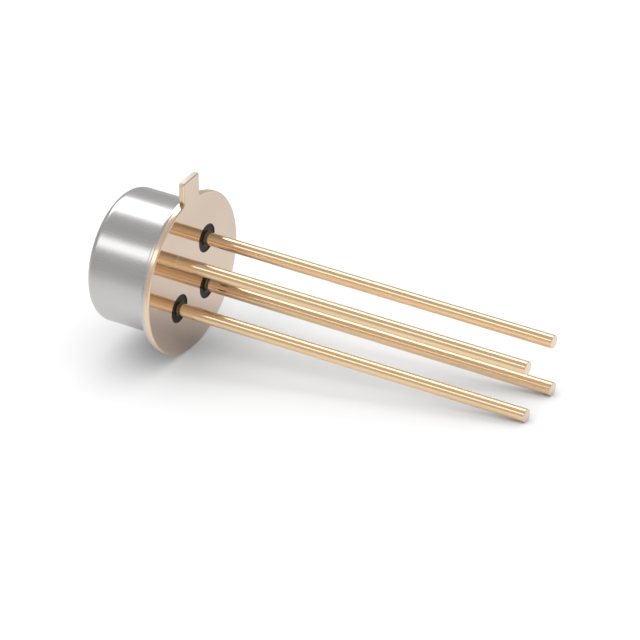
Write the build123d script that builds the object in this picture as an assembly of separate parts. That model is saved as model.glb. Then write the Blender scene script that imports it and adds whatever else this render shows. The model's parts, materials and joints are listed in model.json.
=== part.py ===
from build123d import *
import math
import os

# Infrared temperature sensor: a thermopile in a small round metal can with four leads.
# Lengths are in millimetres. The can is modelled in package axes and laid down at the end:
# z runs from the seating plane to the window, and y points at the index tab.

# Leads, on one circle, each 45 degrees from the index tab's line
lead_circle_diameter = 2.54
lead_diameter = 0.45
lead_length = 12.96
lead_end_break = 0.03
post_height = 0.35
post_end_break = 0.02
plating_thickness = 0.003
neck_length = 0.45
braze_length = 0.22
braze_width = 0.04
braze_depth = 0.1
braze_taper = 0.06

# Glass seals
seal_diameter = 1.0
seal_meniscus = 0.03

# Header
seal_outer_wall = 0.33
flange_thickness = 0.2
flange_edge_break = 0.04
flange_lip = 0.05
body_height = 0.7
body_edge_break = 0.05
tab_width = 0.98
tab_reach = 0.81
tab_corner_round = 0.1
tab_root_round = 0.04

# Cap
cap_sheet = 0.15
cap_body_clearance = 0.06
crown_round = 0.33
crown_inner_break = 0.12
foot_outer_break = 0.06
foot_inner_break = 0.12
weld_flange_width = 0.47
cavity_height = 1.35

# Filter behind the aperture
filter_thickness = 0.4
filter_land = 0.1
filter_bead_width = 0.09
filter_bead_height = 0.2
filter_corner_clearance = 0.04

# Thermopile chip
chip_side = 1.0
chip_thickness = 0.35
chip_cavity_side = 0.6
membrane_thickness = 0.01
absorber_side = 0.4
absorber_thickness = 0.01

# Thermistor beside the chip, on the side away from the tab
thermistor_side = 0.35
thermistor_thickness = 0.2
thermistor_gap = 0.25

# Die attach pads
attach_thickness = 0.03
attach_margin = 0.04

# Bond wires
wire_diameter = 0.038
wire_rise = 0.12
wire_bow = 0.05
wire_landing = 0.09
ball_diameter = 0.09
ball_height = 0.025
stitch_diameter = 0.08
stitch_height = 0.012
pad_inset = 0.11

# Sizes that follow from the ones above
lead_circle_radius = lead_circle_diameter / 2
lead_radius = lead_diameter / 2
bare_lead_radius = lead_radius - plating_thickness
seal_radius = seal_diameter / 2
body_radius = lead_circle_radius + seal_radius + seal_outer_wall
cap_inner_radius = body_radius + cap_body_clearance
cap_radius = cap_inner_radius + cap_sheet
weld_flange_radius = cap_radius + weld_flange_width
flange_radius = weld_flange_radius + flange_lip
inner_face = flange_thickness + body_height
post_top = inner_face + post_height
filter_seat = inner_face + cavity_height + filter_thickness
cap_top = filter_seat + cap_sheet
filter_reach = cap_inner_radius - crown_inner_break - filter_corner_clearance
filter_side = (filter_reach - filter_bead_width) * math.sqrt(2)
aperture_radius = filter_side / 2 - filter_land
chip_top = inner_face + attach_thickness + chip_thickness
thermistor_top = inner_face + attach_thickness + thermistor_thickness
thermistor_centre = -(chip_side / 2 + thermistor_gap + thermistor_side / 2)

# Each lead's name and its turn about the can's axis from the index tab
lead_turns = {"plus": 45, "minus": 135, "thermistor": 225, "ground": 315}
sealed_leads = ["plus", "minus", "thermistor"]


def lead_place(name):
    """Centre of a lead on the seating plane."""
    turn = math.radians(lead_turns[name])
    return Vector(-lead_circle_radius * math.sin(turn), lead_circle_radius * math.cos(turn), 0)


def turned(corners):
    """Solid turned about z from a closed outline of (radius, height) corners."""
    outline = Polyline(*[(r, 0, z) for r, z in corners], close=True)
    return revolve(make_face(outline), Axis.Z)


def make_ground_nib():
    """Tapered end of the ground lead, sunk into the header's metal where it is brazed."""
    mouth = lead_radius + braze_width
    low = (Align.CENTER, Align.CENTER, Align.MIN)
    return Cone(mouth, mouth - braze_taper, braze_depth, align=low)


def make_header():
    """Eyelet with its rim flange and index tab, the raised body and the seal bores."""
    tab_top = flange_radius + tab_reach
    tab = Pos(0, tab_top / 2) * Rectangle(tab_width, tab_top)
    flange = extrude(Circle(flange_radius) + tab, amount=flange_thickness)
    upright = flange.edges().filter_by(Axis.Z).group_by(Axis.Y)
    flange = fillet(upright[-1], tab_corner_round)
    roots = flange.edges().filter_by(Axis.Z).sort_by(lambda edge: abs(edge.center().Y - flange_radius))
    flange = fillet(roots[0:2], tab_root_round)
    flange = chamfer(flange.faces().sort_by(Axis.Z)[0].edges(), flange_edge_break)

    body = Pos(0, 0, flange_thickness) * Cylinder(
        body_radius, body_height, align=(Align.CENTER, Align.CENTER, Align.MIN)
    )
    body = chamfer(body.edges().sort_by(Axis.Z)[-1], body_edge_break)
    header = flange + body

    for name in sealed_leads:
        bore = Cylinder(seal_radius, inner_face, align=(Align.CENTER, Align.CENTER, Align.MIN))
        header -= Pos(lead_place(name)) * bore
    return header - Pos(lead_place("ground")) * make_ground_nib()


def make_seal():
    """Glass bead between a bare lead and its bore, dished a little on the seating side."""
    middle = (bare_lead_radius + seal_radius) / 2
    dish = ThreePointArc((bare_lead_radius, 0, 0), (middle, 0, seal_meniscus), (seal_radius, 0, 0))
    rest = Polyline(
        (seal_radius, 0, 0),
        (seal_radius, 0, inner_face),
        (bare_lead_radius, 0, inner_face),
        (bare_lead_radius, 0, 0),
    )
    return revolve(make_face([dish, rest]), Axis.Z)


def make_sealed_lead():
    """Lead bare in the glass and on its short neck, plated beyond it, with a flat post to bond on."""
    return turned([
        (0, -lead_length),
        (lead_radius - lead_end_break, -lead_length),
        (lead_radius, -lead_length + lead_end_break),
        (lead_radius, -neck_length),
        (bare_lead_radius, -neck_length),
        (bare_lead_radius, inner_face),
        (lead_radius, inner_face),
        (lead_radius, post_top - post_end_break),
        (lead_radius - post_end_break, post_top),
        (0, post_top),
    ])


def make_ground_lead():
    """Lead with no glass, whose neck and tapered end carry the braze that joins it to the header."""
    rod = turned([
        (0, -lead_length),
        (lead_radius - lead_end_break, -lead_length),
        (lead_radius, -lead_length + lead_end_break),
        (lead_radius, -braze_length),
        (lead_radius + braze_width, 0),
        (0, 0),
    ])
    return rod + make_ground_nib()


def make_cap():
    """Drawn can: aperture, rounded crown, wall, and the weld flange at its foot."""
    foot_top = flange_thickness + cap_sheet
    can = turned([
        (aperture_radius, cap_top),
        (cap_radius, cap_top),
        (cap_radius, foot_top + foot_outer_break),
        (cap_radius + foot_outer_break, foot_top),
        (weld_flange_radius, foot_top),
        (weld_flange_radius, flange_thickness),
        (cap_inner_radius + foot_inner_break, flange_thickness),
        (cap_inner_radius, flange_thickness + foot_inner_break),
        (cap_inner_radius, filter_seat - crown_inner_break),
        (cap_inner_radius - crown_inner_break, filter_seat),
        (aperture_radius, filter_seat),
    ])
    crown = can.faces().sort_by(Axis.Z)[-1].outer_wire().edges()
    return fillet(crown, crown_round)


def block(side, thickness, bottom):
    """Square block on a level."""
    return Pos(0, 0, bottom) * extrude(Rectangle(side, side), amount=thickness)


def make_filter():
    """Silicon filter against the inside of the cap's end."""
    return block(filter_side, filter_thickness, filter_seat - filter_thickness)


def make_filter_adhesive():
    """Bead round the filter, against the cap's end, thinning away from it."""
    outline = RectangleRounded(
        filter_side + 2 * filter_bead_width, filter_side + 2 * filter_bead_width, filter_bead_width
    )
    crest = RectangleRounded(
        filter_side + filter_bead_width, filter_side + filter_bead_width, filter_bead_width / 2
    )
    bead_end = filter_seat - filter_bead_height
    bead = loft([Pos(0, 0, filter_seat) * outline, Pos(0, 0, bead_end) * crest])
    return bead - block(filter_side, filter_bead_height, bead_end)


def make_chip():
    """Silicon frame, open below, with the membrane across its top."""
    cavity_height_in_chip = chip_thickness - membrane_thickness
    bottom = chip_top - chip_thickness
    frame = block(chip_side, chip_thickness, bottom)
    return frame - block(chip_cavity_side, cavity_height_in_chip, bottom)


def make_attach_pad(side):
    """Die attach pad that spreads a little round its chip."""
    foot = Rectangle(side + 2 * attach_margin, side + 2 * attach_margin)
    crest = Rectangle(side, side)
    return loft([Pos(0, 0, inner_face) * foot, Pos(0, 0, inner_face + attach_thickness) * crest])


def make_wire(start, end):
    """Ball on the chip, a rise, a bowed fall to the post, and the stitch on it."""
    wire_radius = wire_diameter / 2
    along = Vector(end.X - start.X, end.Y - start.Y, 0).normalized()
    foot = start + Vector(0, 0, ball_height / 2)
    crest = start + Vector(0, 0, wire_rise)
    rest = end + Vector(0, 0, wire_radius + stitch_height / 2)
    touch = rest - along * wire_landing
    bow = (crest * 2 + touch) / 3 + Vector(0, 0, wire_bow)
    section = Plane(origin=foot, z_dir=(0, 0, 1)) * Circle(wire_radius)
    wire = sweep(section, path=Polyline(foot, crest, bow, touch, rest), transition=Transition.RIGHT)
    low = (Align.CENTER, Align.CENTER, Align.MIN)
    ball = Pos(start) * Cylinder(ball_diameter / 2, ball_height, align=low)
    stitch = Pos(end) * Cylinder(stitch_diameter / 2, stitch_height, align=low)
    return wire + ball + stitch


def wire_from_chip(name):
    """Wire from the chip's pad nearest to a post."""
    post = lead_place(name)
    pad_offset = chip_side / 2 - pad_inset
    pad = Vector(
        math.copysign(pad_offset, post.X), math.copysign(pad_offset, post.Y), chip_top
    )
    return make_wire(pad, post + Vector(0, 0, post_top))


def make_parts():
    """Every piece in package axes, by node name."""
    parts = {"header": make_header()}
    for name in sealed_leads:
        place = Pos(lead_place(name))
        parts["glass_seal_" + name] = place * make_seal()
        parts["lead_" + name] = place * make_sealed_lead()
    parts["lead_ground"] = Pos(lead_place("ground")) * make_ground_lead()
    parts["cap"] = make_cap()
    parts["infrared_filter"] = make_filter()
    parts["filter_adhesive"] = make_filter_adhesive()
    parts["thermopile_chip"] = make_chip()
    parts["absorber"] = block(absorber_side, absorber_thickness, chip_top)
    parts["chip_adhesive"] = make_attach_pad(chip_side)
    beside = Pos(0, thermistor_centre, 0)
    thermistor_bottom = inner_face + attach_thickness
    parts["thermistor_chip"] = beside * block(thermistor_side, thermistor_thickness, thermistor_bottom)
    parts["thermistor_adhesive"] = beside * make_attach_pad(thermistor_side)
    parts["bond_wire_plus"] = wire_from_chip("plus")
    parts["bond_wire_minus"] = wire_from_chip("minus")
    thermistor_pad = Vector(0, thermistor_centre, thermistor_top)
    thermistor_post = lead_place("thermistor") + Vector(0, 0, post_top)
    parts["bond_wire_thermistor"] = make_wire(thermistor_pad, thermistor_post)
    return parts


def rest_tilt():
    """Angle by which the lead ends dip when the rim and the two lower leads lie on a level surface."""
    lower_lead = lead_circle_radius * math.cos(math.radians(lead_turns["plus"]))
    along = lead_length - lead_end_break + flange_edge_break
    across = flange_radius - lower_lead - lead_radius
    return math.atan2(across, along)


def make_rest_place():
    """Place of the seating plane's centre with the can on its side, leads to +X and tab up."""
    tilt = rest_tilt()
    return Plane(
        origin=(0, 0, 0), x_dir=(0, -1, 0), z_dir=(-math.cos(tilt), 0, math.sin(tilt))
    ).location


os.makedirs("parts", exist_ok=True)
rest_place = make_rest_place()
for node, solid in make_parts().items():
    placed = rest_place * solid
    placed.label = node
    export_step(placed, "parts/" + node + ".step")
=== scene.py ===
import json
import math
from types import SimpleNamespace

import bmesh
import bpy
from bpy.props import FloatProperty, FloatVectorProperty, PointerProperty
from mathutils import Matrix, Vector


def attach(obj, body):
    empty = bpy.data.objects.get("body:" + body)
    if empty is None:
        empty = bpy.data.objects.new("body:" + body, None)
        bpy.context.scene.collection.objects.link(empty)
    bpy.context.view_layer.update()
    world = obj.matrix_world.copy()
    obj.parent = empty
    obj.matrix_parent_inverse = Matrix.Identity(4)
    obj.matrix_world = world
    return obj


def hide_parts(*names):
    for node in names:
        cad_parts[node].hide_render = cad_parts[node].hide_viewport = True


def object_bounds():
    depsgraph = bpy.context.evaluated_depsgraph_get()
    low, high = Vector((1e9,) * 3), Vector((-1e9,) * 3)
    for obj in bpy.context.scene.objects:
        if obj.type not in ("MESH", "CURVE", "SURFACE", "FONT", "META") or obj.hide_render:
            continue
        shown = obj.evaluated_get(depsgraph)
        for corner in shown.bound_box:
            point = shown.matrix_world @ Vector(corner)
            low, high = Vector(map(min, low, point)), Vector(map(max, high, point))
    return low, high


bl_info = {
    "name": "Infrared temperature sensor",
    "version": (1, 0, 0),
    "blender": (4, 5, 0),
    "location": "3D View > Sidebar > Sensor",
    "description": "Dresses the frame of a small infrared sensor in a metal can",
    "category": "Add Mesh",
}

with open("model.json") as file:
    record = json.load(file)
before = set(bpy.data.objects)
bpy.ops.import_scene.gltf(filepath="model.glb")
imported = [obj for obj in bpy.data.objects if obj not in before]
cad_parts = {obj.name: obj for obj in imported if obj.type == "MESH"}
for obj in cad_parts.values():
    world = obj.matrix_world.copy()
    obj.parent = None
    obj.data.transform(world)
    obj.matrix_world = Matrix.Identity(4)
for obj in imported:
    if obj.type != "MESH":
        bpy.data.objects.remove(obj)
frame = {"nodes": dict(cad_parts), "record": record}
cad_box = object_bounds()

MM = 0.001
MOUNTS = {mount["name"]: mount for mount in frame["record"]["mounts"]}
PATTERN = MOUNTS["lead_pattern"]["dims"]

# The sensor's own axes: x to the side, y to the index tab, z from the seating plane to the window
LEAD_AXIS = Vector(MOUNTS["lead_pattern"]["axis"])
TAB_AXIS = Vector(MOUNTS["index_tab"]["axis"])
SIDE_AXIS = LEAD_AXIS.cross(TAB_AXIS)

# From the sensor's own axes, in millimetres, to the frame, in metres
PLACE = Matrix((SIDE_AXIS, TAB_AXIS, -LEAD_AXIS)).transposed().to_4x4() @ Matrix.Scale(MM, 4)

# The photographer's axes: along the leads, to the far side and to the tab
SHOT_TURN = Matrix((LEAD_AXIS, -SIDE_AXIS, TAB_AXIS)).transposed()

# Each lead's turn about the can's axis from the index tab, in degrees
LEAD_TURNS = {"plus": 45, "minus": 135, "thermistor": 225, "ground": 315}
SEALED_LEADS = ("plus", "minus", "thermistor")

# Faces round a turned shape, and across a rounded edge
LEAD_STEPS = 64
BODY_STEPS = 128
RIM_STEPS = 190
CAP_STEPS = 192
ROUND_STEPS = 6

# Points that are nearer to each other than this, in millimetres, are one
MERGE = 1e-5

# Edges that turn by less than this are shaded smooth
SMOOTH_TURN = math.radians(40)

# Length of the braze along the ground lead, in its own widths
BRAZE_SLOPE = 1.5


def length(label, description, size):
    """A length property whose default is given in millimetres."""
    return FloatProperty(
        name=label, description=description, default=size * MM, precision=6, unit="LENGTH"
    )


def angle(label, description, degrees):
    """An angle property whose default is given in degrees."""
    return FloatProperty(
        name=label, description=description, default=math.radians(degrees), subtype="ANGLE"
    )


def share(label, description, value):
    """A property from nothing to all."""
    return FloatProperty(
        name=label, description=description, default=value, min=0.0, max=1.0, subtype="FACTOR"
    )


def colour(label, description, value):
    """A colour property."""
    return FloatVectorProperty(
        name=label, description=description, default=value, min=0.0, max=1.0, size=3,
        subtype="COLOR",
    )


def number(label, description, value):
    """A plain number property."""
    return FloatProperty(name=label, description=description, default=value)


class SENSOR_PG_sizes(bpy.types.PropertyGroup):
    """Sizes of the visible pieces."""

    lead_circle: length(
        "Lead circle", "Diameter of the circle that the leads stand on", PATTERN["pcd_mm"]
    )
    lead_radius: length("Lead radius", "Radius of a plated lead", PATTERN["stud_r_mm"])
    bare_radius: length("Bare radius", "Radius of a lead where the glass holds it", 0.222)
    lead_length: length("Lead length", "From the seating plane to the lead's end", 12.96)
    lead_tip: length("Lead tip round", "Round on the edge of a cut lead end", 0.03)
    lead_neck: length("Lead neck", "Length of the bare neck under the seating plane", 0.45)
    braze_width: length("Braze width", "Width of the braze ring round the ground lead", 0.006)
    post_top: length("Post top", "Height of the posts inside the can", 1.25)
    post_edge: length("Post edge", "Round on a post's edge", 0.02)
    seal_radius: length("Seal radius", "Radius of a glass seal", 0.5)
    seal_creep: length("Glass creep", "How far the glass climbs a lead", 0.006)
    seal_dish: length("Glass dish", "Depth of the dish in the glass", 0.03)
    seal_foot: length("Glass foot", "How far from the metal the glass starts to rise", 0.05)
    flange_radius: length("Flange radius", "Radius of the header's rim", 2.83)
    flange_thickness: length(
        "Flange thickness", "Thickness of the rim and of the index tab", 0.2
    )
    body_radius: length("Body radius", "Radius of the header's raised body", 2.1)
    body_top: length("Body top", "Height of the header's inner face", 0.9)
    edge_round: length("Edge round", "Round on the header's stamped edges", 0.06)
    bore_round: length("Bore round", "Round on the mouths of the seal bores", 0.012)
    tab_width: length("Tab width", "Width of the index tab", 0.98)
    tab_top: length("Tab end", "From the can's axis to the index tab's end", 3.64)
    tab_corner: length("Tab corner", "Round on the index tab's corners", 0.1)
    tab_root: length("Tab root", "Round where the index tab leaves the rim", 0.04)
    cap_radius: length(
        "Cap radius", "Outer radius of the cap's wall", MOUNTS["cap_barrel"]["dims"]["r_mm"]
    )
    cap_sheet: length("Cap sheet", "Thickness of the drawn sheet", 0.15)
    cap_top: length("Cap top", "Height of the cap's end over the seating plane", 2.8)
    crown_round: length("Crown round", "Outer round at the cap's end", 0.33)
    crown_inside: length("Crown inside", "Inner round at the cap's end", 0.12)
    foot_round: length("Foot round", "Round where the wall turns out to the weld flange", 0.07)
    weld_radius: length("Weld flange radius", "Radius of the cap's weld flange", 2.78)
    weld_edge: length("Weld flange edge", "Round on the weld flange's edge", 0.05)
    aperture_radius: length("Aperture radius", "Radius of the opening over the filter", 1.25)
    aperture_edge: length("Aperture edge", "Round on the punched opening", 0.02)


class SENSOR_PG_finishes(bpy.types.PropertyGroup):
    """Colours and gloss of the finishes."""

    header_gold: colour("Header gold", "Gold plate on the header", (0.85, 0.69, 0.57))
    header_gloss: share("Header roughness", "Roughness of the header's plate", 0.06)
    rim_gold: colour("Rim gold", "Gold plate on the header's stamped sides", (0.96, 0.74, 0.54))
    # Painted shade: a dark colour painted into the corners at the index tab's root.
    root_stain: colour(
        "Root stain", "Dull plate in the corners at the index tab's root", (0.27, 0.21, 0.11)
    )
    tab_end: colour("Tab end", "Dull plate on the index tab's sheared end", (0.72, 0.62, 0.53))
    tab_end_gloss: share("Tab end roughness", "Roughness of the index tab's sheared end", 0.5)
    rim_gloss: share("Rim roughness", "Roughness of the header's stamped sides", 0.22)
    rim_metal: share(
        "Rim shine", "How much of the stamped sides shines, the rest being matte", 0.85
    )
    # Lit and shaded copies of one gold: the leads' plate is painted paler as painted light, and
    # their first millimetres darker and warmer as painted shade of the header they mirror.
    lead_gold: colour("Lead gold", "Gold plate on the leads", (0.99, 0.72, 0.45))
    root_gold: colour(
        "Root gold", "Gold plate on the leads' first millimetres, warmer from the firing",
        (0.97, 0.69, 0.42),
    )
    lead_cut: colour("Lead cut", "Bare metal at the leads' cut ends", (0.94, 0.80, 0.66))
    lead_gloss: share("Lead roughness", "Roughness of the leads' plate", 0.16)
    root_gloss: share("Root roughness", "Roughness of the leads' first millimetres", 0.13)
    lead_metal: share(
        "Lead shine", "How much of the leads' plate shines, the rest being matte", 0.82
    )
    root_metal: share("Root shine", "How much of the leads' first millimetres shines", 0.88)
    cap_metal: colour("Cap metal", "Nickel silver of the cap", (0.73, 0.715, 0.705))
    cap_gloss: share("Cap roughness", "Roughness of the satin cap", 0.26)
    seal_glass: colour("Seal glass", "Fired black glass", (0.008, 0.007, 0.006))
    filter_coat: colour("Filter", "Coated silicon behind the aperture", (0.10, 0.11, 0.14))


class SENSOR_PG_stage(bpy.types.PropertyGroup):
    """Camera and light."""

    azimuth: angle(
        "Azimuth", "Camera's turn about the tab's line, from straight across the leads", 29.892
    )
    elevation: angle(
        "Elevation", "Camera's height over the plane of the leads and the can's side", 32.133
    )
    roll: angle("Roll", "Camera's turn about its own line of sight", -0.047)
    distance: length(
        "Distance", "From the camera to the seating plane's centre, along the view", 154.912
    )
    aim_right: length("Aim right", "How far the camera stands to its right of that centre", 4.193)
    aim_up: length("Aim up", "How far the camera stands above that centre", -1.546)
    lens: FloatProperty(
        name="Lens", description="Camera's focal length", default=263.27, unit="CAMERA"
    )
    floor_side: length("Floor side", "Side of the square floor", 6000)
    light_distance: length("Light distance", "From the sensor to each light", 400)
    softbox_depth: length("Softbox depth", "Size of each softbox along the leads", 480)
    behind_angle: angle(
        "Behind angle", "Middle of the softbox behind, seen in the can's wall", -31.5
    )
    behind_spread: angle("Behind spread", "Width of the softbox behind, seen from the sensor", 27)
    behind_glow: number("Behind glow", "Brightness of the softbox behind", 2.4)
    front_angle: angle("Front angle", "Middle of the softbox in front, seen in the can's wall", 48)
    front_spread: angle("Front spread", "Width of the softbox in front, seen from the sensor", 15.4)
    front_glow: number("Front glow", "Brightness of the softbox in front", 1.2)
    overhead_side: length("Overhead side", "Side of the overhead light", 1200)
    overhead_glow: number("Overhead glow", "Brightness of the overhead light", 0.3)


def millimetres(group):
    """The lengths of a property group as plain numbers in millimetres."""
    return SimpleNamespace(**{
        name: getattr(group, name) / MM
        for name in group.__annotations__
        if group.bl_rna.properties[name].unit == "LENGTH"
    })


# Mesh work, in millimetres in the sensor's own axes


def round_off(bm, items, offset, affect):
    """Rounds vertices of an outline, or edges of a solid."""
    bmesh.ops.bevel(
        bm, geom=items, offset=offset, offset_type="OFFSET", segments=ROUND_STEPS, profile=0.5,
        affect=affect, material=-1,
    )


def join(bm, other):
    """Moves the whole of another mesh into this one."""
    mesh = bpy.data.meshes.new("joined")
    other.to_mesh(mesh)
    other.free()
    bm.from_mesh(mesh)
    bpy.data.meshes.remove(mesh)


def on_level(item, level):
    """Whether an edge or a face lies on a level."""
    return all(abs(vert.co.z - level) < MERGE for vert in item.verts)


def wire(bm, corners, closed):
    """Vertices joined in a line through (radius, height, round) corners, the rounds made."""
    verts = [bm.verts.new((radius, 0, height)) for radius, height, *_ in corners]
    for one, two in zip(verts, verts[1:] + verts[:1] if closed else verts[1:]):
        bm.edges.new((one, two))
    for vert, corner in zip(verts, corners):
        if len(corner) > 2:
            round_off(bm, [vert], corner[2], "VERTICES")


def turn(bm, corners, steps, closed=True, centre=(0, 0)):
    """A line of (radius, height, round) corners spun about an upright axis."""
    section = bmesh.new()
    wire(section, corners, closed)
    bmesh.ops.spin(
        section, geom=section.verts[:] + section.edges[:], cent=(0, 0, 0), axis=(0, 0, 1),
        dvec=(0, 0, 0), angle=2 * math.pi, steps=steps, use_merge=True, use_duplicate=False,
    )
    bmesh.ops.remove_doubles(section, verts=section.verts, dist=MERGE)
    bmesh.ops.translate(section, vec=(*centre, 0), verts=section.verts)
    join(bm, section)


def add_object(name, data):
    """An object in the scene's collection."""
    made = bpy.data.objects.new(name, data)
    bpy.context.scene.collection.objects.link(made)
    return made


def finish_piece(bm, name, material, nodes, flat_levels=()):
    """A shown piece from a mesh in the sensor's axes, in place of its nodes."""
    bmesh.ops.recalc_face_normals(bm, faces=bm.faces)
    for face in bm.faces:
        face.smooth = not any(on_level(face, level) for level in flat_levels)
    for edge in bm.edges:
        edge.smooth = edge.calc_face_angle(0.0) < SMOOTH_TURN
    bmesh.ops.transform(bm, matrix=PLACE, verts=bm.verts)
    mesh = bpy.data.meshes.new(name)
    bm.to_mesh(mesh)
    bm.free()
    mesh.materials.append(material)
    piece = add_object(name, mesh)
    weights = piece.modifiers.new("Flat faces stay flat", "WEIGHTED_NORMAL")
    weights.keep_sharp = True
    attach(piece, "root")
    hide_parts(*nodes)


def lead_place(size, name):
    """Centre of a lead on the seating plane."""
    turn_angle = math.radians(LEAD_TURNS[name])
    radius = size.lead_circle / 2
    return -radius * math.sin(turn_angle), radius * math.cos(turn_angle)


def header_outline(bm, size):
    """The rim and the index tab as one ring of edges on the seating plane."""
    half = size.tab_width / 2
    root_height = math.sqrt(size.flange_radius**2 - half**2)
    first = bm.verts.new((half, root_height, 0))
    spun = bmesh.ops.spin(
        bm, geom=[first], cent=(0, 0, 0), axis=(0, 0, -1), dvec=(0, 0, 0),
        angle=2 * math.pi - 2 * math.atan2(half, root_height), steps=RIM_STEPS,
        use_merge=False, use_duplicate=False,
    )
    last = spun["geom_last"][0]
    corners = [bm.verts.new((side * half, size.tab_top, 0)) for side in (-1, 1)]
    for pair in zip([last] + corners, corners + [first]):
        bm.edges.new(pair)
    round_off(bm, corners, size.tab_corner, "VERTICES")
    round_off(bm, [first, last], size.tab_root, "VERTICES")


def raise_slab(bm, face, height, low_round, high_round):
    """A slab raised from one face, its lower and upper edges rounded. Leaves both ends open."""
    raised = bmesh.ops.extrude_face_region(bm, geom=[face])["geom"]
    top = next(item for item in raised if isinstance(item, bmesh.types.BMFace))
    bmesh.ops.translate(bm, vec=(0, 0, height), verts=top.verts)
    low, high = face.verts[0].co.z, top.verts[0].co.z
    ends = {low: low_round, high: high_round}
    for level, offset in ends.items():
        if offset:
            edges = [edge for edge in bm.edges if on_level(edge, level)]
            round_off(bm, edges, offset, "EDGES")
    caps = [cap for cap in bm.faces if any(on_level(cap, level) for level in ends)]
    bmesh.ops.delete(bm, geom=caps, context="FACES_ONLY")


def make_header(size, material):
    """Stamped eyelet: rim with its index tab, raised body, and the bores for the glass."""
    bm = bmesh.new()
    header_outline(bm, size)
    face = bmesh.ops.contextual_create(bm, geom=bm.edges[:])["faces"][0]
    raise_slab(bm, face, size.flange_thickness, size.edge_round, size.edge_round / 2)

    body = bmesh.new()
    bmesh.ops.create_circle(body, cap_ends=True, radius=size.body_radius, segments=BODY_STEPS)
    bmesh.ops.translate(body, vec=(0, 0, size.flange_thickness), verts=body.verts)
    body.faces.ensure_lookup_table()
    raise_slab(body, body.faces[0], size.body_top - size.flange_thickness, 0, size.edge_round)
    join(bm, body)

    mouth = size.seal_radius + size.bore_round
    for name in SEALED_LEADS:
        turn(
            bm,
            [(mouth, 0), (size.seal_radius, 0, size.bore_round), (size.seal_radius, size.body_top)],
            LEAD_STEPS, closed=False, centre=lead_place(size, name),
        )
    levels = (0, size.flange_thickness, size.body_top)
    for level in levels:
        open_edges = [
            edge for edge in bm.edges if len(edge.link_faces) < 2 and on_level(edge, level)
        ]
        bmesh.ops.triangle_fill(bm, edges=open_edges, use_beauty=True, use_dissolve=False)
    finish_piece(bm, "header_dressed", material, ["header"], levels)


def make_seal(size, name, material):
    """Fired glass between lead and bore, wetting both and sunk between them."""
    bm = bmesh.new()
    turn(
        bm,
        [
            (size.bare_radius, -size.seal_creep),
            (size.bare_radius + size.seal_foot, size.seal_dish, size.seal_foot / 2),
            (size.seal_radius - size.seal_foot, size.seal_dish, size.seal_foot / 2),
            (size.seal_radius, size.bore_round / 2),
            (size.seal_radius, size.body_top),
            (size.bare_radius, size.body_top),
        ],
        LEAD_STEPS, centre=lead_place(size, name),
    )
    finish_piece(bm, "seal_" + name, material, ["glass_seal_" + name])


def make_lead(size, name, material):
    """Round gold-plated lead: a cut end, and a post in the can or a braze ring on the header."""
    bm = bmesh.new()
    tip = [
        (0, -size.lead_length),
        (size.lead_radius, -size.lead_length, size.lead_tip),
        (size.lead_radius, -size.lead_neck),
    ]
    if name in SEALED_LEADS:
        rest = [
            (size.bare_radius, -size.lead_neck),
            (size.bare_radius, size.body_top),
            (size.lead_radius, size.body_top),
            (size.lead_radius, size.post_top, size.post_edge),
            (0, size.post_top),
        ]
    else:
        foot = size.lead_radius + size.braze_width
        start = -BRAZE_SLOPE * size.braze_width
        rest = [(size.lead_radius, start, size.braze_width), (foot, 0), (0, 0)]
    turn(bm, tip + rest, LEAD_STEPS, closed=False, centre=lead_place(size, name))
    finish_piece(bm, "lead_" + name + "_dressed", material, ["lead_" + name])


def make_cap(size, material):
    """Drawn can: aperture, rounded crown, wall, and the weld flange at its foot."""
    bm = bmesh.new()
    inner = size.cap_radius - size.cap_sheet
    seat = size.cap_top - size.cap_sheet
    low = size.flange_thickness
    foot = low + size.cap_sheet
    turn(
        bm,
        [
            (size.aperture_radius, size.cap_top, size.aperture_edge),
            (size.cap_radius, size.cap_top, size.crown_round),
            (size.cap_radius, foot, size.foot_round),
            (size.weld_radius, foot, size.weld_edge),
            (size.weld_radius, low, size.weld_edge),
            (inner, low, size.crown_inside),
            (inner, seat, size.crown_inside),
            (size.aperture_radius, seat, size.aperture_edge),
        ],
        CAP_STEPS,
    )
    finish_piece(bm, "cap_dressed", material, ["cap"])


# Materials

BLACK = (0.0, 0.0, 0.0)
WHITE = (1.0, 1.0, 1.0)

# What the filter's film does to its red, green and blue
FILM_TINT = (1.1, 0.95, 1.25)

# Finishes inside the can: colour, roughness, how much shines, and clouds to a millimetre
INNER_FINISHES = {
    "epoxy": ((0.08, 0.07, 0.06), 0.5, 0.0, 4),
    "silver_epoxy": ((0.6, 0.58, 0.54), 0.45, 0.7, 12),
    "chip_silicon": ((0.22, 0.23, 0.25), 0.15, 0.6, 2),
    "absorber_black": ((0.02, 0.02, 0.02), 0.9, 0.0, 20),
    "thermistor_ceramic": ((0.16, 0.15, 0.14), 0.6, 0.0, 15),
    "bond_gold": ((0.9, 0.66, 0.3), 0.2, 1.0, 10),
}

# How many times finer their grain is than their clouds
GRAIN_FINENESS = 8


class Socket:
    """A shader output that takes part in Python arithmetic."""

    def __init__(self, nodes, output):
        self.nodes = nodes
        self.output = output

    def worked(self, operation, one, two):
        """A Math node on two values."""
        return self.nodes.add("Math", {0: one, 1: two}, {"operation": operation})

    def __add__(self, other):
        return self.worked("ADD", self, other)

    def __radd__(self, other):
        return self.worked("ADD", other, self)

    def __sub__(self, other):
        return self.worked("SUBTRACT", self, other)

    def __rsub__(self, other):
        return self.worked("SUBTRACT", other, self)

    def __mul__(self, other):
        return self.worked("MULTIPLY", self, other)

    def __rmul__(self, other):
        return self.worked("MULTIPLY", other, self)

    def __truediv__(self, other):
        return self.worked("DIVIDE", self, other)

    def __rtruediv__(self, other):
        return self.worked("DIVIDE", other, self)


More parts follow.
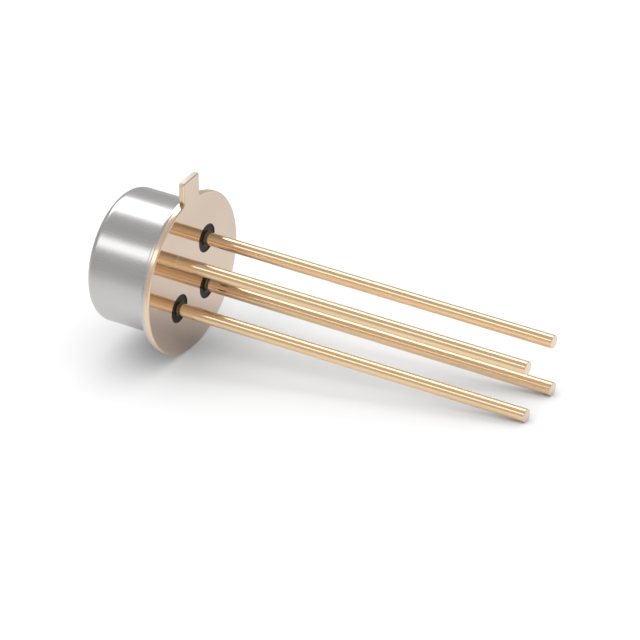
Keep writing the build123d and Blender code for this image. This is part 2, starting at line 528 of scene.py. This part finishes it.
class Nodes:
    """The nodes of a material or of the world."""

    def __init__(self, owner):
        owner.use_nodes = True
        self.owner = owner
        self.tree = owner.node_tree

    def set(self, node, inputs):
        """Links a node's sockets, or sets their values."""
        for key, value in inputs.items():
            socket = node.inputs[key]
            if isinstance(value, Socket):
                self.tree.links.new(value.output, socket)
            elif socket.type == "RGBA":
                socket.default_value = (*value, 1)
            else:
                socket.default_value = value

    def add(self, kind, inputs, settings=None, output=0):
        """A new node: its type, then its settings, then the values or links of its sockets."""
        node = self.tree.nodes.new("ShaderNode" + kind)
        for key, value in (settings or {}).items():
            if key == "stops":
                ramp = node.color_ramp.elements
                while len(ramp) < len(value):
                    ramp.new(0.5)
                for stop, (position, tone) in zip(ramp, value):
                    stop.position = position
                    stop.color = (*tone, 1) if isinstance(tone, tuple) else (tone, tone, tone, 1)
            else:
                setattr(node, key, value)
        self.set(node, inputs)
        return Socket(self, node.outputs[output])

    def mix(self, factor, one, two):
        """A colour between two colours. Inputs 6 and 7 and output 2 are the node's colours."""
        return self.add("Mix", {0: factor, 6: one, 7: two}, {"data_type": "RGBA"}, output=2)

    def ramp(self, value, *stops):
        """A tone from a value, through (position, tone) stops."""
        return self.add("ValToRGB", {"Fac": value}, {"stops": stops})

    def fade_in(self, value, start, end):
        """Nothing up to the start, and all from the end on."""
        return self.ramp(value, (start, 0.0), (end, 1.0))

    def fade_out(self, value, start, end):
        """All up to the start, and nothing from the end on."""
        return self.ramp(value, (start, 1.0), (end, 0.0))

    def part(self, place, axis):
        """A place's X, Y or Z."""
        return self.add("SeparateXYZ", {"Vector": place}, output=axis)

    def vector(self, operation, *vectors):
        """A number worked out from one or two vectors."""
        return self.add(
            "VectorMath", dict(enumerate(vectors)), {"operation": operation}, output="Value"
        )

    def noise(self, place, scale, detail=2.0, roughness=0.5):
        """Soft noise from 0 to 1."""
        return self.add(
            "TexNoise", {"Vector": place, "Scale": scale, "Detail": detail, "Roughness": roughness}
        )

    def sensor_place(self, stretch=(1, 1, 1)):
        """Object coordinates in millimetres on the photographer's axes, stretched along each."""
        tilt = math.atan2(-LEAD_AXIS.z, LEAD_AXIS.x)
        spot = self.add("TexCoord", {}, output="Object")
        turned = self.add(
            "Mapping", {"Vector": spot, "Rotation": (0, -tilt, 0)}, {"vector_type": "POINT"}
        )
        scale = tuple(factor / MM for factor in stretch)
        return self.add("Mapping", {"Vector": turned, "Scale": scale}, {"vector_type": "POINT"})

    def bump(self, height, strength, depth):
        """A normal from a height, its depth in millimetres."""
        return self.add("Bump", {"Height": height, "Strength": strength, "Distance": depth * MM})


def new_material(name):
    """A material's nodes and its shader."""
    nodes = Nodes(bpy.data.materials.new(name))
    return nodes, nodes.tree.nodes["Principled BSDF"]


def shades(tone, low, high):
    """A colour made darker and lighter by two factors."""
    base = Vector(tone)
    return tuple(base * low), tuple(base * high)


def swing(noise, reach):
    """Noise made a change about nothing, its reach being from the lowest to the highest."""
    return reach * (noise - 0.5)


def header_gold(look, size):
    """Bright gold plate over a stamped blank: satin sides, a rough, darker plate at the tab's end,
    and painted shade in the corners at the tab's roots.
    """
    nodes, shader = new_material("header_gold")
    place = nodes.sensor_place()
    tone = nodes.noise(place, scale=0.7, detail=3)
    grain = nodes.noise(place, scale=55, detail=4)
    hair = nodes.noise(nodes.sensor_place(stretch=(0.4, 30, 2)), scale=1, detail=3)
    depth = -1 * nodes.part(place, "X")
    side = nodes.fade_in(depth, start=0.001, end=0.012)
    # Painted shade: a dark patch in each corner where the index tab leaves the rim.
    root_shades = []
    for hand in (-1, 1):
        across, up = hand * size.tab_width / 2, size.flange_radius + size.tab_root
        away = nodes.vector("DISTANCE", place, (-size.flange_thickness / 2, across, up))
        root_shades.append(nodes.fade_out(away, start=0.06, end=0.14))
    painted_shade = side * (root_shades[0] + root_shades[1])
    below_end = (size.tab_top - nodes.part(place, "Z")) / size.tab_corner
    end = side * nodes.fade_out(below_end, start=0.3, end=0.9)
    face_gold = nodes.mix(tone, *shades(look.header_gold, low=0.96, high=1.04))
    side_gold = nodes.mix(tone, *shades(look.rim_gold, low=0.96, high=1.04))
    plate = nodes.mix(end, nodes.mix(side, face_gold, side_gold), look.tab_end)
    gloss = look.header_gloss + swing(grain, 0.05) + swing(hair, 0.03)
    nodes.set(shader, {
        "Base Color": nodes.mix(painted_shade, plate, look.root_stain),
        "Metallic": 1.0 - (1.0 - look.rim_metal) * side,
        "Roughness": gloss + (look.rim_gloss - look.header_gloss) * side
        + (look.tab_end_gloss - look.rim_gloss) * end,
        "Normal": nodes.bump(grain, strength=0.03, depth=0.002),
    })
    return nodes.owner


def lead_gold(look, size):
    """Gold plate over drawn wire in lit and shaded copies: paler along the lead as painted light,
    darker and warmer near the header as painted shade; paler metal at the lead's cut end.
    """
    nodes, shader = new_material("lead_gold")
    place = nodes.sensor_place()
    drawn = nodes.sensor_place(stretch=(0.6, 45, 45))
    lines = nodes.noise(drawn, scale=1, detail=3, roughness=0.6)
    grain = nodes.noise(place, scale=40, detail=3)
    shade = 0.03 * nodes.noise(place, scale=1.3, detail=2)
    along = nodes.part(place, "X")
    last_millimetre = along - (size.lead_length - 1)
    cut = nodes.fade_in(last_millimetre, start=0.98, end=0.995)
    centimetres = along / 10
    # Painted shade: the first millimetres of each lead take the darker, warmer root gold.
    root = nodes.fade_out(centimetres, start=0.12, end=0.32)
    plate = nodes.mix(shade, nodes.mix(root, look.lead_gold, look.root_gold), BLACK)
    nodes.set(shader, {
        "Base Color": nodes.mix(cut, plate, look.lead_cut),
        "Metallic": look.lead_metal + (look.root_metal - look.lead_metal) * root,
        "Roughness": look.lead_gloss + (look.root_gloss - look.lead_gloss) * root
        + swing(lines, 0.08) + swing(grain, 0.06),
        "Normal": nodes.bump(lines * 0.7 + grain * 0.3, strength=0.12, depth=0.002),
    })
    return nodes.owner


def cap_metal(look):
    """Satin nickel silver with faint draw lines along the wall."""
    nodes, shader = new_material("cap_metal")
    place = nodes.sensor_place()
    drawn = nodes.sensor_place(stretch=(0.5, 30, 30))
    lines = nodes.noise(drawn, scale=1, detail=4, roughness=0.6)
    grain = nodes.noise(place, scale=45, detail=4)
    tone = nodes.noise(place, scale=0.8, detail=3)
    nodes.set(shader, {
        "Base Color": nodes.mix(tone, *shades(look.cap_metal, low=0.96, high=1.03)),
        "Metallic": 1.0,
        "Roughness": look.cap_gloss + swing(lines, 0.06) + swing(grain, 0.06),
        "Normal": nodes.bump(lines * 0.5 + grain * 0.5, strength=0.10, depth=0.002),
    })
    return nodes.owner


def seal_glass(look):
    """Fired black glass: glossy, clouded a little, with a skin that isn't quite even."""
    nodes, shader = new_material("seal_glass")
    place = nodes.sensor_place()
    cloud = nodes.noise(place, scale=6, detail=3)
    skin = nodes.noise(place, scale=9, detail=2)
    nodes.set(shader, {
        "Base Color": nodes.mix(cloud, *shades(look.seal_glass, low=0.7, high=1.5)),
        "Roughness": 0.2 + swing(cloud, 0.08),
        "Specular IOR Level": 0.16,
        "Specular Tint": (1.0, 0.9, 0.8),
        "Normal": nodes.bump(skin, strength=0.12, depth=0.01),
    })
    return nodes.owner


def filter_silicon(look):
    """Coated silicon: a dark mirror whose tint drifts a little."""
    nodes, shader = new_material("filter_silicon")
    place = nodes.sensor_place()
    film = nodes.noise(place, scale=0.8, detail=2)
    grain = nodes.noise(place, scale=30, detail=3)
    tinted = tuple(tone * tint for tone, tint in zip(look.filter_coat, FILM_TINT))
    nodes.set(shader, {
        "Base Color": nodes.mix(film, tuple(look.filter_coat), tinted),
        "Metallic": 0.6,
        "Roughness": 0.07 + swing(grain, 0.04),
        "Normal": nodes.bump(grain, strength=0.03, depth=0.001),
    })
    return nodes.owner


def inner_finish(name):
    """A clouded, fine-grained finish for a piece inside the can."""
    tone, roughness, metallic, clouds = INNER_FINISHES[name]
    nodes, shader = new_material(name)
    place = nodes.sensor_place()
    cloud = nodes.noise(place, scale=clouds, detail=3)
    grain = nodes.noise(place, scale=clouds * GRAIN_FINENESS, detail=3)
    nodes.set(shader, {
        "Base Color": nodes.mix(cloud, *shades(tone, low=0.8, high=1.2)),
        "Metallic": metallic,
        "Roughness": roughness + swing(grain, 0.1),
        "Normal": nodes.bump(grain, strength=0.1, depth=0.003),
    })
    return nodes.owner


# Stage

# The ground's own tone, and the reach of its tones in a mirror, in millimetres
GROUND_WHITE = (0.96, 0.96, 0.96)
GROUND_REACH = 30

# Its tones in a mirror, by distance from the frame's origin: a painted reflection, painted darker
# close to the sensor as its shadow and fading darker far off; and the painted light that the leads'
# end adds to them
GROUND_MIRROR_SHADE = (
    (0.093, 0.62), (0.105, 0.69), (0.13, 0.80), (0.155, 0.78), (0.25, 0.67), (0.9, 0.40),
)
GROUND_LEAD_END_LIGHT = ((0.12, 0.0), (0.21, 0.12))

# The studio in a mirror: its walls by height, and where drapes hang by direction along the leads
WALL_TONES = ((0.0, 0.42), (0.5, 0.42), (0.9, 0.38))
DRAPE_PLACE = ((0.0, 0.0), (0.25, 1.0), (0.55, 1.0), (0.7, 0.0))

# The drapes' tones, from behind the sensor to its front
DRAPE_TONES = (
    (0.13, 0.42), (0.19, 0.17), (0.345, 0.23), (0.515, 0.32), (0.665, 0.40), (0.79, 0.48),
    (0.89, 0.58),
)

# The camera's film in millimetres, and the nearest and the farthest that it sees in metres
FILM_WIDTH = 36
NEAREST_SEEN = 0.01
FARTHEST_SEEN = 20


def view_back(stage):
    """Direction from the sensor to the camera."""
    return Vector((
        math.sin(stage.azimuth) * math.cos(stage.elevation),
        -math.cos(stage.azimuth) * math.cos(stage.elevation),
        math.sin(stage.elevation),
    ))


def mirrored(stage, around):
    """What the can's wall and the leads show the camera, by its angle from the tab to the front."""
    back = view_back(stage)
    across = math.hypot(back.y, back.z)
    return Vector((-back.x, -across * math.sin(around), across * math.cos(around)))


def add_softbox(name, direction, width, depth, glow, reach):
    """A rectangular light that faces the sensor, its glow being what a mirror shows."""
    way = SHOT_TURN @ direction
    across = LEAD_AXIS.cross(way).normalized()
    data = bpy.data.lights.new(name, "AREA")
    data.shape = "RECTANGLE"
    data.size = width
    data.size_y = depth
    data.energy = glow * math.pi * width * depth
    light = add_object(name, data)
    turned = Matrix((across, way.cross(across), way)).transposed()
    light.matrix_world = Matrix.Translation(way * reach) @ turned.to_4x4()
    light.visible_camera = False
    return light


def make_lights(stage):
    """Two softboxes that the metal mirrors, and a wide light overhead for the ground alone."""
    reach = stage.light_distance
    for name, middle, spread, glow in (
        ("softbox_behind", stage.behind_angle, stage.behind_spread, stage.behind_glow),
        ("softbox_front", stage.front_angle, stage.front_spread, stage.front_glow),
    ):
        way, width = mirrored(stage, middle), 2 * reach * math.tan(spread / 2)
        softbox = add_softbox(name, way, width, stage.softbox_depth, glow, reach)
        softbox.visible_diffuse = False
    side = stage.overhead_side
    straight_up = SHOT_TURN.inverted() @ Vector((0, 0, 1))
    overhead = add_softbox("overhead", straight_up, side, side, stage.overhead_glow, reach)
    overhead.visible_glossy = False


def make_floor(stage):
    """White ground under the lowest point of the sensor. Mirrors show it as a painted reflection:
    darker near the sensor as painted shadow, and lighter under the leads' end as painted light.
    """
    bm = bmesh.new()
    bmesh.ops.create_grid(bm, x_segments=1, y_segments=1, size=stage.floor_side / 2)
    bmesh.ops.translate(bm, vec=(0, 0, cad_box[0].z), verts=bm.verts)
    mesh = bpy.data.meshes.new("floor")
    bm.to_mesh(mesh)
    bm.free()
    floor = add_object("floor", mesh)
    nodes, shader = new_material("floor_white")
    in_gloss = nodes.add("LightPath", {}, output="Is Glossy Ray")
    spot = nodes.add("TexCoord", {}, output="Object")
    away = nodes.vector("LENGTH", spot)
    # Painted reflection: the tone that mirrors see, painted by distance, with painted light under
    # the leads' end.
    shown = nodes.ramp(away / (GROUND_REACH * MM), *GROUND_MIRROR_SHADE)
    along = nodes.part(spot, "X")
    lead_end = nodes.ramp(along / (GROUND_REACH * MM), *GROUND_LEAD_END_LIGHT)
    nodes.set(shader, {
        "Base Color": nodes.mix(in_gloss, GROUND_WHITE, shown + lead_end),
        "Roughness": 0.9,
        "Specular IOR Level": 0.1,
    })
    mesh.materials.append(nodes.owner)


def make_world():
    """White light, and in a mirror a grey studio with darker drapes at the leads' end."""
    world = bpy.data.worlds.new("studio")
    bpy.context.scene.world = world
    nodes = Nodes(world)
    spot = nodes.add("TexCoord", {}, output="Generated")
    walls = nodes.ramp(nodes.part(spot, "Z"), *WALL_TONES)
    lead_end = nodes.ramp(nodes.vector("DOT_PRODUCT", spot, LEAD_AXIS), *DRAPE_PLACE)
    front = nodes.vector("DOT_PRODUCT", spot, SIDE_AXIS)
    drapes = nodes.ramp(0.5 + 0.5 * front, *DRAPE_TONES)
    in_gloss = nodes.add("LightPath", {}, output="Is Glossy Ray")
    studio = nodes.mix(lead_end, walls, drapes)
    background = nodes.tree.nodes["Background"]
    nodes.set(background, {"Color": nodes.mix(in_gloss, WHITE, studio)})


def make_camera(stage):
    """Camera that sees the sensor as the photograph does."""
    back = view_back(stage)
    level = Vector((math.cos(stage.azimuth), math.sin(stage.azimuth), 0))
    rise = back.cross(level)
    right = math.cos(stage.roll) * level + math.sin(stage.roll) * rise
    up = math.cos(stage.roll) * rise - math.sin(stage.roll) * level
    spot = stage.aim_right * right + stage.aim_up * up + stage.distance * back
    data = bpy.data.cameras.new("camera")
    data.sensor_width = FILM_WIDTH
    data.lens = stage.lens
    data.clip_start = NEAREST_SEEN
    data.clip_end = FARTHEST_SEEN
    camera = add_object("camera", data)
    turned = SHOT_TURN @ Matrix((right, up, back)).transposed()
    camera.matrix_world = Matrix.Translation(SHOT_TURN @ spot) @ turned.to_4x4()
    bpy.context.scene.camera = camera


class SENSOR_OT_header(bpy.types.Operator):
    """Makes the header"""

    bl_idname = "sensor.header"
    bl_label = "Header"

    def execute(self, context):
        size = millimetres(context.scene.sensor_sizes)
        make_header(size, header_gold(context.scene.sensor_finishes, size))
        return {"FINISHED"}


class SENSOR_OT_seals(bpy.types.Operator):
    """Makes the glass seals"""

    bl_idname = "sensor.seals"
    bl_label = "Glass seals"

    def execute(self, context):
        size = millimetres(context.scene.sensor_sizes)
        material = seal_glass(context.scene.sensor_finishes)
        for name in SEALED_LEADS:
            make_seal(size, name, material)
        return {"FINISHED"}


class SENSOR_OT_leads(bpy.types.Operator):
    """Makes the leads"""

    bl_idname = "sensor.leads"
    bl_label = "Leads"

    def execute(self, context):
        size = millimetres(context.scene.sensor_sizes)
        material = lead_gold(context.scene.sensor_finishes, size)
        for name in LEAD_TURNS:
            make_lead(size, name, material)
        return {"FINISHED"}


class SENSOR_OT_cap(bpy.types.Operator):
    """Makes the cap"""

    bl_idname = "sensor.cap"
    bl_label = "Cap"

    def execute(self, context):
        scene = context.scene
        make_cap(millimetres(scene.sensor_sizes), cap_metal(scene.sensor_finishes))
        return {"FINISHED"}


class SENSOR_OT_inside(bpy.types.Operator):
    """Gives the pieces inside the can their finishes"""

    bl_idname = "sensor.inside"
    bl_label = "Inner pieces"

    def execute(self, context):
        finishes = {"filter_silicon": filter_silicon(context.scene.sensor_finishes)}
        finishes.update({name: inner_finish(name) for name in INNER_FINISHES})
        slots = {row["node"]: row["material_slot"] for row in frame["record"]["subparts"]}
        for node, piece in frame["nodes"].items():
            if slots[node] in finishes:
                piece.data.materials.clear()
                piece.data.materials.append(finishes[slots[node]])
        return {"FINISHED"}


class SENSOR_OT_stage(bpy.types.Operator):
    """Makes the ground, the lights and the camera"""

    bl_idname = "sensor.stage"
    bl_label = "Stage"

    def execute(self, context):
        stage = context.scene.sensor_stage
        context.scene.view_settings.view_transform = "Standard"
        context.scene.cycles.caustics_reflective = False
        make_floor(stage)
        make_world()
        make_lights(stage)
        make_camera(stage)
        return {"FINISHED"}


class SENSOR_PT_pieces(bpy.types.Panel):
    """Lists the steps and what can be changed"""

    bl_idname = "SENSOR_PT_pieces"
    bl_label = "Infrared sensor"
    bl_space_type = "VIEW_3D"
    bl_region_type = "UI"
    bl_category = "Sensor"

    def draw(self, context):
        for operator in OPERATORS:
            self.layout.operator(operator.bl_idname)
        for name in GROUPS:
            group = getattr(context.scene, name)
            box = self.layout.box()
            for field in group.__annotations__:
                box.prop(group, field)


GROUPS = {
    "sensor_sizes": SENSOR_PG_sizes,
    "sensor_finishes": SENSOR_PG_finishes,
    "sensor_stage": SENSOR_PG_stage,
}
OPERATORS = (
    SENSOR_OT_header, SENSOR_OT_seals, SENSOR_OT_leads, SENSOR_OT_cap, SENSOR_OT_inside,
    SENSOR_OT_stage,
)


def register():
    """Registers the classes and the scene's properties."""
    for kind in (*GROUPS.values(), *OPERATORS, SENSOR_PT_pieces):
        bpy.utils.register_class(kind)
    for name, group in GROUPS.items():
        setattr(bpy.types.Scene, name, PointerProperty(type=group))


def unregister():
    """Takes back what register did."""
    for name in GROUPS:
        delattr(bpy.types.Scene, name)
    for kind in (SENSOR_PT_pieces, *reversed(OPERATORS), *reversed(list(GROUPS.values()))):
        bpy.utils.unregister_class(kind)


def main():
    """Makes every piece and the stage."""
    register()
    bpy.ops.sensor.header()
    bpy.ops.sensor.seals()
    bpy.ops.sensor.leads()
    bpy.ops.sensor.cap()
    bpy.ops.sensor.inside()
    bpy.ops.sensor.stage()


if __name__ == "__main__":
    main()
